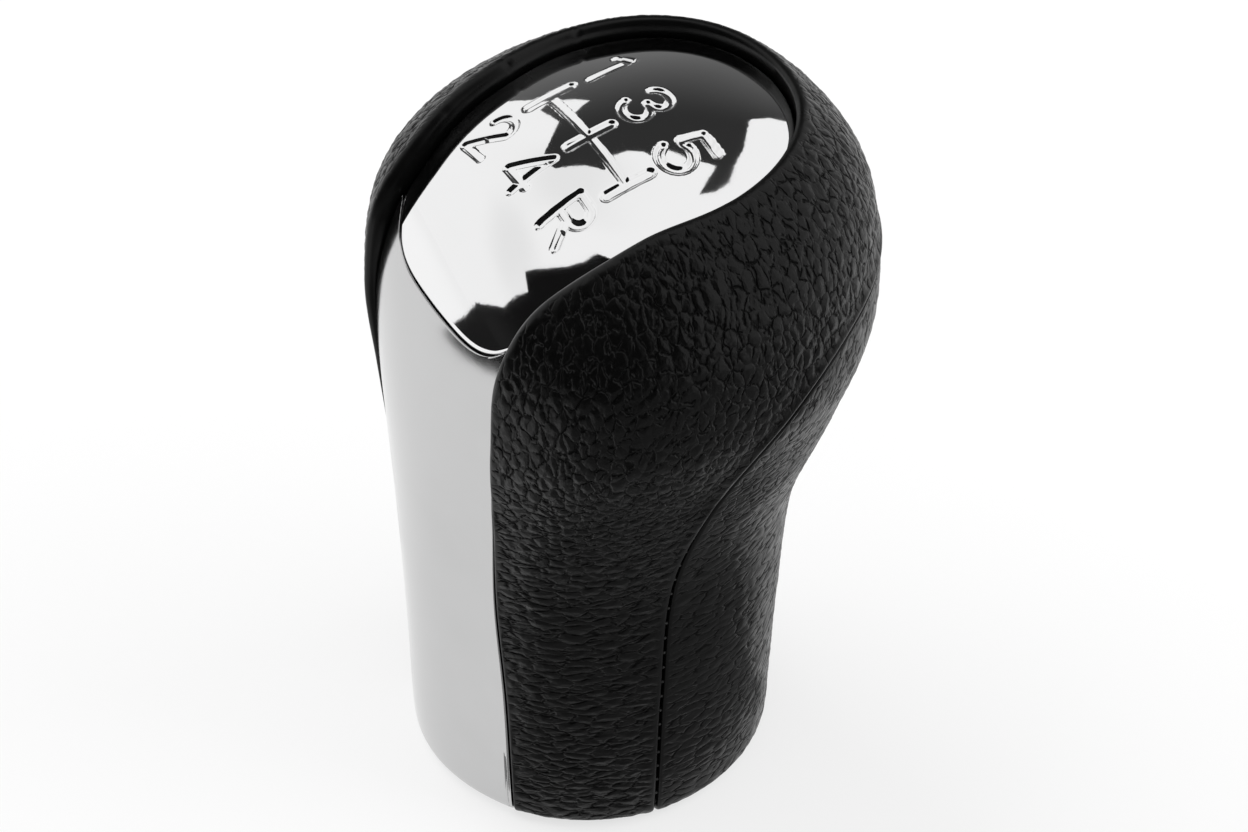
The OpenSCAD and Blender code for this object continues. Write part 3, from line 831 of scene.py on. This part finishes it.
def add_block(start, end, low, high):
    middle = np.array([0, (start + end) / 2, (low + high) / 2]) * MM
    size = np.array([hook_w, end - start, high - low]) * MM
    add_solid(spine, bmesh.ops.create_cube, size=1,
              matrix=Matrix.Translation(middle) @ Matrix.Diagonal((*size, 1)))


for z in hooks_at:
    end = -cavity_r + hook_reach
    add_block(-foot_r + shank_sink + spine_t - root_lap, end, z, z + hook_h)
    add_block(-cavity_r + 2 * cover_gap, end, z, z + hook_h + catch_h)
add_block(-head_back + spine_t - root_lap, tongue_l - head_back, tongue_z, tongue_z + hook_h)

# %% [markdown]
# ## The threaded insert
# The lever screws into a knurled metal insert. Its bore carries a real thread, a groove that
# climbs one pitch a turn. Turning a profile round the axis gives both: the radius of each point
# is a rule of its height and its angle.

# %% Turn the insert
insert_d, flange_d, flange_t, insert_l, bore_l, bore_d = 16.0, 18.4, 2.0, 30.0, 27.0, 10.64
knurls, knurl_h, pitch, thread_h, turn_cols = 28, 0.5, 1.25, 0.62, 112
chamfer, run_out, soft, collar = 0.8, 1.5, 0.3, 1.0
body_r, band = insert_d / 2 - knurl_h - 0.1, (insert_l - flange_t) / 3
turn_a = np.arange(turn_cols) / turn_cols * 2 * math.pi


def zigzag(turns):
    return np.abs((turns % 1) * 2 - 1)


def bore_row(z):
    crest = np.clip(1.25 * zigzag(z / pitch - turn_a / (2 * math.pi)) - 0.12, 0, 1)
    groove = bore_d / 2 + thread_h * crest * float(step(bore_l, bore_l - run_out, z))
    return np.maximum(groove, bore_d / 2 + max(chamfer - z, 0))


knurled = insert_d / 2 - zigzag(turn_a * knurls / (2 * math.pi)) * knurl_h
profile = [(bore_row(z), z) for z in np.linspace(bore_l, 0, 173)]
profile += [(flange_d / 2 - soft, 0), (flange_d / 2, soft), (flange_d / 2, flange_t - 0.2),
            (flange_d / 2 - 0.2, flange_t), (body_r, flange_t), (body_r, flange_t + collar)]
low_band, high_band = flange_t + collar, insert_l - collar - band
for start in (low_band, high_band):
    profile += [(knurled - soft, start), (knurled, start + soft), (knurled, start + band - soft),
                (knurled - soft, start + band), (body_r, start + band + 0.01)]
    if start == low_band:
        profile += [(body_r, high_band - 0.01)]
profile += [(body_r, insert_l - soft), (body_r - soft, insert_l)]
rings = [np.stack([r * np.cos(turn_a), r * np.sin(turn_a), np.full(turn_cols, z + foot_z)], -1)
         for r, z in profile]
points = np.concatenate(rings + [np.array([[0, 0, foot_z + bore_l], [0, 0, foot_z + insert_l]])])
faces, n = [], turn_cols
for k in range(len(rings) - 1):
    a, b = k * n + np.arange(n), k * n + (np.arange(n) + 1) % n
    faces += np.stack([a, b, b + n, a + n], -1).tolist()
last = (len(rings) - 1) * n
faces += [[len(points) - 2, (i + 1) % n, i] for i in range(n)]
faces += [[len(points) - 1, last + i, last + (i + 1) % n] for i in range(n)]
insert = add_piece("thread_insert_turned", points, faces, "insert_metal", "thread_insert")

# %% [markdown]
# ## Finishes
# Black leather is nearly black with a soft shine. What the eye reads as leather is the net of
# creases, so the net steers height, colour and roughness together; in the creases the colour and
# shine are darkened as painted shade. The bright trim is plated plastic: a mirror with a slight
# skin of polish marks.

# %% Start a material and find its shader
def grey(tone, blue=1.0):
    return tone, tone, tone * blue


def new_finish(name, colour, rough, metal=0.0, level=0.5):
    finish = bpy.data.materials.new(name)
    finish.use_nodes = True
    tree = finish.node_tree
    shader = tree.nodes["Principled BSDF"]
    shader.inputs["Base Color"].default_value = (*colour, 1)
    shader.inputs["Roughness"].default_value = rough
    shader.inputs["Metallic"].default_value = metal
    shader.inputs["Specular IOR Level"].default_value = level
    return finish, tree, shader


def own_place(tree):
    return add(tree, "ShaderNodeTexCoord").outputs["Object"]


def noise_of(tree, vector, scale, detail=3.0, rough=0.55):
    node = add(tree, "ShaderNodeTexNoise", {"Scale": scale, "Detail": detail, "Roughness": rough},
               noise_dimensions="3D")
    join(tree, (vector, node.inputs["Vector"]))
    return node.outputs["Fac"]


def blend_of(tree, factor, dark, light):
    node = add(tree, "ShaderNodeMix", data_type="RGBA")
    a, b = [s for s in node.inputs if s.type == "RGBA"]
    a.default_value, b.default_value = (*dark, 1), (*light, 1)
    join(tree, (factor, node.inputs[0]))
    return [s for s in node.outputs if s.type == "RGBA"][0]


def bumped(tree, shader, height, distance, strength=1.0):
    node = add(tree, "ShaderNodeBump", {"Distance": distance, "Strength": strength})
    join(tree, (height, node.inputs["Height"]), (node.outputs[0], shader.inputs["Normal"]))


# %% Leather: creases, the pads between them, wrinkles across the pads and pores
crease_w, pad_w, pad_rise, wrinkle_rise, pore_rise = 0.14, 0.5, 0.35, 0.35, 0.05


def leather(name, tone, relief):
    finish, tree, shader = new_finish(name, grey(tone), 0.5, level=0.2)
    net = add(tree, "ShaderNodeAttribute", attribute_name="net").outputs["Vector"]
    grain = add(tree, "ShaderNodeAttribute", attribute_name="grain").outputs["Fac"]
    at = own_place(tree)
    distance = crease_distance(tree, net)
    uneven = ramp(tree, noise_of(tree, net, 1.2, 2.0), 0.42, 0.6, 0.12, 1.0)
    crease = times(tree, times(tree, ramp(tree, distance, 0.0, crease_w, 1.0, 0.0), uneven), grain)
    pad = times(tree, times(tree, ramp(tree, distance, 0.0, pad_w), grain), pad_rise)
    wrinkle = times(tree, times(tree, noise_of(tree, net, 1.9, 3.0), wrinkle_rise), grain)
    pore = times(tree, noise_of(tree, at, 5200, 2.0), pore_rise)
    rises = maths(tree, "ADD", wrinkle, pore)
    height = maths(tree, "ADD", maths(tree, "SUBTRACT", pad, crease), rises)
    bumped(tree, shader, height, relief)
    # Painted shade: the creases' colour is darkened towards a quarter and their shine lowered,
    # standing in for shade in the creases.
    painted_crease_shade = times(tree, crease, 0.4)
    shade = blend_of(tree, painted_crease_shade, grey(tone, 0.99), grey(tone * 0.25))
    worn = maths(tree, "ADD", noise_of(tree, at, 420, 2.0), painted_crease_shade)
    rough = ramp(tree, worn, 0.25, 1.0, 0.27, 0.5)
    shine = ramp(tree, crease, 0.1, 1.0, 0.21, 0.07)
    join(tree, (shade, shader.inputs["Base Color"]), (rough, shader.inputs["Roughness"]),
         (shine, shader.inputs["Specular IOR Level"]))
    return finish


wrap_leather = leather("wrap_leather", tone=0.0024, relief=0.00018)
front_leather = leather("front_leather", tone=0.0024, relief=0.00008)


# %% Bright plating
def plating(name, tone, rough, mottle):
    finish, tree, shader = new_finish(name, grey(tone, 1.005), rough, metal=1.0)
    at = own_place(tree)
    cloud = noise_of(tree, at, 130, 4.0)
    shade = blend_of(tree, cloud, grey(tone * (1 - mottle)), grey(tone, 1.005))
    join(tree, (ramp(tree, cloud, 0.3, 0.75, rough * 0.7, rough * 1.5), shader.inputs["Roughness"]),
         (shade, shader.inputs["Base Color"]))
    bumped(tree, shader, noise_of(tree, at, 900, 2.0), distance=0.000004, strength=0.5)
    return finish


plate_chrome = plating("plate_chrome", tone=0.88, rough=0.035, mottle=0.02)
spine_chrome = plating("spine_chrome", tone=0.6, rough=0.13, mottle=0.10)


# %% Moulded plastic, turned brass and sewing thread
def moulded(name, tone, rough, scale):
    finish, tree, shader = new_finish(name, grey(tone, 1.04), rough)
    spark = noise_of(tree, own_place(tree), scale, 3.0, 0.7)
    shade = blend_of(tree, spark, grey(tone * 0.85), (tone * 1.15, tone * 1.15, tone * 1.2))
    join(tree, (ramp(tree, spark, 0.3, 0.7, rough - 0.08, rough + 0.1), shader.inputs["Roughness"]),
         (shade, shader.inputs["Base Color"]))
    bumped(tree, shader, spark, distance=0.00003, strength=0.7)
    return finish


def turned_metal(name, colour, rough):
    finish, tree, shader = new_finish(name, colour, rough, metal=1.0)
    at = own_place(tree)
    rings = add(tree, "ShaderNodeMapping", {"Scale": (40, 40, 5200)})
    join(tree, (at, rings.inputs["Vector"]))
    marks = noise_of(tree, rings.outputs[0], 1.0, 2.0)
    stain = blend_of(tree, noise_of(tree, at, 260, 3.0), tuple(c * 0.8 for c in colour), colour)
    uneven = ramp(tree, marks, 0.2, 0.8, rough - 0.08, rough + 0.12)
    join(tree, (uneven, shader.inputs["Roughness"]), (stain, shader.inputs["Base Color"]))
    bumped(tree, shader, marks, distance=0.00002, strength=0.5)
    return finish


def twisted(name, tone):
    finish, tree, shader = new_finish(name, grey(tone), 0.45)
    wave = add(tree, "ShaderNodeTexWave", {"Scale": 900.0, "Distortion": 1.0},
               wave_type="BANDS", bands_direction="DIAGONAL")
    shade = blend_of(tree, wave.outputs["Fac"], grey(tone * 0.6), grey(tone * 1.4))
    join(tree, (own_place(tree), wave.inputs["Vector"]), (shade, shader.inputs["Base Color"]))
    bumped(tree, shader, wave.outputs["Fac"], distance=0.00005, strength=0.8)
    return finish


core_plastic = moulded("core_plastic", tone=0.035, rough=0.42, scale=3000)
ring_plastic = moulded("ring_plastic", tone=0.03, rough=0.5, scale=2400)
insert_metal = turned_metal("insert_metal", colour=(0.72, 0.53, 0.26), rough=0.3)
sewing_thread = twisted("sewing_thread", tone=0.02)
for node, finish in (("grip_core", core_plastic), ("closing_ring", ring_plastic)):
    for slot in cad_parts[node].material_slots:
        slot.material = finish

# %% Dress the pieces
settle(leather_wrap, grain_tree, wrap_leather, {"Depth": 0.1 * MM, "Crease width": 0.5})
settle(leather_front, grain_tree, front_leather, {"Depth": 0.07 * MM, "Crease width": 0.5})
for piece, finish in ((shift_plate, plate_chrome), (spine, spine_chrome), (insert, insert_metal)):
    piece.data.materials.append(finish)

# %% [markdown]
# ## Stitches
# Wrap and front panel are sewn edge to edge, so short bars of thread cross the valley of the
# seam. They repeat along a path, which is work for a node tree: the seam is a line that knows
# which way is out and which way is across, and each stitch is set on it by those two directions.

# %% The line of the seam
def both_sides(grid):
    return np.concatenate([grid, mirrored(grid[-2::-1])])


seam_u = np.concatenate([np.linspace(-0.9, 0, 6)[:-1],
                         even_shares(0.0, 1.0, 240, skin_travel(at_seam))])
on_seam, out_way = skin(*at_seam(seam_u)), outward(*at_seam(seam_u))
cross_way = unit(np.cross(np.gradient(on_seam, axis=0), out_way))
seam_line = both_sides(on_seam) * MM
seam_long = np.linalg.norm(np.diff(seam_line, axis=0), axis=1).sum() / MM
print("the seam is", round(float(seam_long)), "mm long, both sides together")
mesh = bpy.data.meshes.new("seam_line")
mesh.from_pydata(seam_line.tolist(), [(k, k + 1) for k in range(len(seam_line) - 1)], [])
for name, ways in (("out", out_way), ("across", cross_way)):
    ways = both_sides(ways).ravel()
    mesh.attributes.new(name, "FLOAT_VECTOR", "POINT").data.foreach_set("vector", ways)
stitches = bpy.data.objects.new("seam_stitches", mesh)
bpy.context.scene.collection.objects.link(stitches)

# %% A tree that sews along a line
sewing, source, sink = new_tree("sew_along", ("Pitch", "Half width", "Thread radius", "Sink"))
half_width, out = source.outputs["Half width"], named(sewing, "out", "FLOAT_VECTOR")
line = add(sewing, "GeometryNodeMeshToCurve")
spread = add(sewing, "GeometryNodeResampleCurve", mode="LENGTH")
bar = add(sewing, "GeometryNodeCurveQuadraticBezier", {"Resolution": 7})
for end, share, drop in (("Start", -1.0, -0.6), ("Middle", 0.0, 0.35), ("End", 1.0, -0.6)):
    spot = add(sewing, "ShaderNodeCombineXYZ")
    join(sewing, (times(sewing, half_width, share), spot.inputs[0]),
         (times(sewing, half_width, drop), spot.inputs[2]), (spot.outputs[0], bar.inputs[end]))
ring = add(sewing, "GeometryNodeCurvePrimitiveCircle", {"Resolution": 8})
tube = add(sewing, "GeometryNodeCurveToMesh", {"Fill Caps": True})
turn = add(sewing, "FunctionNodeAxesToRotation", primary_axis="Z", secondary_axis="X")
lower = add(sewing, "ShaderNodeVectorMath", operation="SCALE")
sunk = add(sewing, "GeometryNodeSetPosition")
put = add(sewing, "GeometryNodeInstanceOnPoints")
join(sewing, (source.outputs["Geometry"], line.inputs["Mesh"]),
     (line.outputs[0], spread.inputs["Curve"]), (source.outputs["Pitch"], spread.inputs["Length"]),
     (source.outputs["Thread radius"], ring.inputs["Radius"]),
     (bar.outputs[0], tube.inputs["Curve"]), (ring.outputs[0], tube.inputs["Profile Curve"]),
     (out, turn.inputs[0]), (named(sewing, "across", "FLOAT_VECTOR"), turn.inputs[1]),
     (out, lower.inputs[0]), (times(sewing, source.outputs["Sink"], -1.0), lower.inputs["Scale"]),
     (spread.outputs[0], sunk.inputs["Geometry"]), (lower.outputs[0], sunk.inputs["Offset"]),
     (sunk.outputs[0], put.inputs["Points"]), (tube.outputs[0], put.inputs["Instance"]),
     (turn.outputs[0], put.inputs["Rotation"]))
closing(sewing, put.outputs[0], source, sink)
settle(stitches, sewing, sewing_thread, {"Pitch": 2.1 * MM, "Half width": 0.5 * MM,
                                         "Thread radius": 0.17 * MM, "Sink": 0.34 * MM})
for polygon in stitches.data.polygons:
    polygon.use_smooth = True

# %% [markdown]
# ## Camera and studio
# The photograph looks down on the knob from the driver's right with a long lens. A mirror shows
# the studio, not itself, so the dark shapes on the bright trim are cards: two stand in the air,
# cut so that their edges fall where the plate shows them, and two lie just above the floor. All
# are flat, and hidden from everything but reflections.

# %% Camera
scene = bpy.context.scene
view_a, view_e, view_roll, far = math.radians(62.2), math.radians(41.35), math.radians(-0.4), 339.0
photo_w, film_w, focal_px = 1248, 36, 3234
knob_middle, aim_right, aim_up = Vector((0, 6, 40.6)), -1.1, -0.82
back = Vector((math.sin(view_a) * math.cos(view_e), -math.cos(view_a) * math.cos(view_e),
               math.sin(view_e)))
level = Vector((math.cos(view_a), math.sin(view_a), 0))
rise = back.cross(level)
across_v = level * math.cos(view_roll) + rise * math.sin(view_roll)
camera_data = bpy.data.cameras.new("camera")
camera_data.sensor_width, camera_data.lens = film_w, focal_px / photo_w * film_w
camera_data.clip_start, camera_data.clip_end = 0.01, 20
camera = bpy.data.objects.new("camera", camera_data)
facing = Matrix((across_v, back.cross(across_v), back)).transposed().to_4x4()
aim = knob_middle + level * aim_right + rise * aim_up
camera.matrix_world = Matrix.Translation((aim + back * far) * MM) @ facing
scene.collection.objects.link(camera)
scene.camera = camera
eye = np.array(knob_middle + back * far)
print("the camera stands", round(far), "mm from the middle of the knob")


# %% Where a ray goes that leaves the camera and bounces off the plate
def bounce(x, y):
    up_z, h = 68.0, 0.001
    for _ in range(60):
        flat_y = (y + up_z * math.sin(lean)) / math.cos(lean)
        up_z = float(plate_height(np.array(x), np.array(flat_y)))
    slope = [float(plate_height(np.array(x + a), np.array(flat_y + b))
                   - plate_height(np.array(x - a), np.array(flat_y - b))) / (2 * h)
             for a, b in ((h, 0), (0, h))]
    normal = stood(unit(np.array([-slope[0], -slope[1], 1.0])))
    start = stood(np.array([x, flat_y, up_z]))
    look = unit(eye - start)
    return start, 2 * normal.dot(look) * normal - look


plate_middle = np.array([0.0, 3, 76])


def heading(azimuth, elevation):
    a, e = math.radians(azimuth), math.radians(elevation)
    return np.array([math.sin(a) * math.cos(e), -math.cos(a) * math.cos(e), math.sin(e)])


# %% Stage finishes and cards
def glow(name, tone):
    finish = bpy.data.materials.new(name)
    finish.use_nodes = True
    tree = finish.node_tree
    tree.nodes.clear()
    light, end = add(tree, "ShaderNodeEmission"), add(tree, "ShaderNodeOutputMaterial")
    light.inputs["Color"].default_value = (*grey(tone), 1)
    join(tree, (light.outputs[0], end.inputs["Surface"]))
    return finish, tree, light, end


def stage_piece(name, corners, finish):
    mesh = bpy.data.meshes.new(name)
    mesh.from_pydata((np.array(corners) * MM).tolist(), [], [list(range(len(corners)))])
    mesh.materials.append(finish)
    flat = bpy.data.objects.new(name, mesh)
    scene.collection.objects.link(flat)
    print(name, len(corners), "corners")
    return flat


def card(name, corners, finish):
    flat = stage_piece(name, corners, finish)
    flat.visible_camera = flat.visible_diffuse = flat.visible_shadow = False


def hung_card(name, rays, middle, tone, low_tone, away=600):
    middle = heading(*middle)
    anchor = plate_middle + middle * away
    finish, tree, light, _ = glow(name, 1.0)
    height = add(tree, "ShaderNodeSeparateXYZ")
    join(tree, (own_place(tree), height.inputs[0]),
         (ramp(tree, height.outputs["Z"], 0.1, 0.5, low_tone, tone), light.inputs["Strength"]))
    card(name, [p + d * (anchor - p).dot(middle) / d.dot(middle) for p, d in rays], finish)


def low_card(name, corners, tone, lift=0.6):
    card(name, [heading(a, 0) * r + [0, 0, lift] for r, a in corners], glow(name, tone)[0])


# %% The two cards in the air: corners by their place on the plate, then by heading
upper_edge = [
    (-14, -2.2), (-12, -1.9), (-10.2, -0.6), (-8.3, 1.1), (-7, 1.8), (-6.1, 2.9), (-4.8, 3.9),
    (-4.6, 3), (-4.2, 2), (-3.6, 1.4), (-4.7, 1.1), (-6.9, 1.1), (-7.6, 0.7), (-7.2, -0.4),
    (-6, -0.2), (-4.1, 0.1), (-2.8, -1.2), (-1.9, -2.2), (-1, -3.2), (0.6, -3.4), (1.5, -3.2),
    (2, -2.4), (3.1, -1), (4.1, -0.2), (5, 0.3), (4.8, 0.8), (3.9, 0.9), (3.8, 1.8), (4.1, 3.2),
    (5.1, 4.5), (5.9, 4.9), (5.7, 6.3), (8.1, 7.8), (10.1, 9.7), (11.1, 8.3), (12.4, 6.6),
    (12.7, 8.1), (12.3, 9.9), (10.8, 11.3), (9.3, 13.1), (7.5, 14.5), (5.9, 15.7), (5.7, 16.1),
    (6, 17.9), (7, 19.6), (8, 21)]
upper_rest = [(-146, 30), (-143, 5), (-128, -6), (-112, -6), (-100, -4), (-93, 2)]
side_edge = [(15, -3), (12.5, -4.5), (12.3, -5.8), (11.6, -7.1), (10.2, -8.6), (8.5, -10.2),
             (10.2, -10.8), (8.9, -12.8), (6.8, -13.6), (4.5, -14.4)]
side_rest = [(-28, -12), (0, -9), (40, -6), (80, -4), (100, 0), (100, 30), (88, 60), (40, 76),
             (-12, 74)]
for name, edge, rest, middle, tones in (
        ("upper_card", upper_edge, upper_rest, (-115, 35), (0.03, 0.19)),
        ("side_card", side_edge, side_rest, (40, 30), (0.006, 0.015))):
    rays = [bounce(*spot) for spot in edge] + [(plate_middle, heading(*way)) for way in rest]
    hung_card(name, rays, middle, *tones)

# %% The two cards on the floor: corners by distance and heading
far_edge = [(600, -38.8), (3650, -38.4), (3040, -36), (959, 0), (734, 40), (958, 80), (1465, 100)]
low_card("far_low_card", far_edge + [(330, a) for a in range(100, -60, -20)], 0.012)
# The near card is a grey sheet reaching in to 23 mm from the middle: the floor seen in the trim
# darkens towards the foot, a painted shade of the floor near the knob.
low_card("near_low_card", [(325, a) for a in range(30, 151, 20)]
         + [(23, a) for a in range(150, 29, -20)], 0.28)


# %% Floor, world and lamps
def seen_directly(tree):
    rays = add(tree, "ShaderNodeLightPath")
    both = maths(tree, "MAXIMUM", rays.outputs["Is Camera Ray"], rays.outputs["Is Glossy Ray"])
    return maths(tree, "MAXIMUM", both, rays.outputs["Is Transmission Ray"])


floor_half, white, shade_level = 3000, 0.98, 0.9
finish, tree, light, end = glow("floor", 1.0)
light.inputs["Strength"].default_value = white
matte = add(tree, "ShaderNodeBsdfDiffuse", {"Color": (*grey(shade_level), 1)})
mixed = add(tree, "ShaderNodeMixShader")
reach = add(tree, "ShaderNodeVectorMath", operation="LENGTH")
join(tree, (own_place(tree), reach.inputs[0]))
bright = ramp(tree, reach.outputs["Value"], 0.25, 1.4, 0.7, 1.0)
join(tree, (times(tree, seen_directly(tree), bright), mixed.inputs[0]),
     (matte.outputs[0], mixed.inputs[1]), (light.outputs[0], mixed.inputs[2]),
     (mixed.outputs[0], end.inputs["Surface"]))
corners = [(x * floor_half, y * floor_half, 0) for x, y in ((-1, -1), (1, -1), (1, 1), (-1, 1))]
stage_piece("floor", corners, finish)

world = bpy.data.worlds.new("studio")
world.use_nodes = True
scene.world = world
tree = world.node_tree
sky = tree.nodes["Background"]
sky.inputs["Color"].default_value = (1, 1, 1, 1)
way = add(tree, "ShaderNodeTexCoord").outputs["Generated"]
height = add(tree, "ShaderNodeSeparateXYZ")
join(tree, (way, height.inputs[0]))
patchy = times(tree, ramp(tree, noise_of(tree, way, 1.4, 1.0), 0.4, 0.65),
               ramp(tree, height.outputs["Z"], 0.0, 0.35, 0.0, 0.1))
cloudy = times(tree, maths(tree, "ADD", patchy, 0.02),
               add(tree, "ShaderNodeLightPath").outputs["Is Glossy Ray"])
join(tree, (ramp(tree, seen_directly(tree), 0.0, 1.0, 0.6, maths(tree, "SUBTRACT", 1.0, cloudy)),
            sky.inputs["Strength"]))


def softbox(name, azimuth, elevation, watts, away=900, wide=0.7):
    lamp = bpy.data.lights.new(name, "AREA")
    lamp.shape, lamp.size, lamp.energy = "SQUARE", wide, watts
    holder = bpy.data.objects.new(name, lamp)
    way = heading(azimuth, elevation)
    spot = Vector((plate_middle + way * away) * MM)
    turned = Vector(way).to_track_quat("Z", "Y").to_matrix().to_4x4()
    holder.matrix_world = Matrix.Translation(spot) @ turned
    holder.visible_glossy = False
    scene.collection.objects.link(holder)


softbox("key", azimuth=-60, elevation=55, watts=5.0)
softbox("fill", azimuth=150, elevation=35, watts=4.0)
scene.view_settings.view_transform = "Standard"

# %% [markdown]
# ## Hand the pieces over
# Every piece rides on the knob's one body and hides the solid it stands for.

# %% Ride and replace
for piece in (leather_wrap, leather_front, shift_plate, spine, insert):
    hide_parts(piece["stands_for"])
    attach(piece, "root")
    del piece["slot_name"], piece["stands_for"]
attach(stitches, "root")
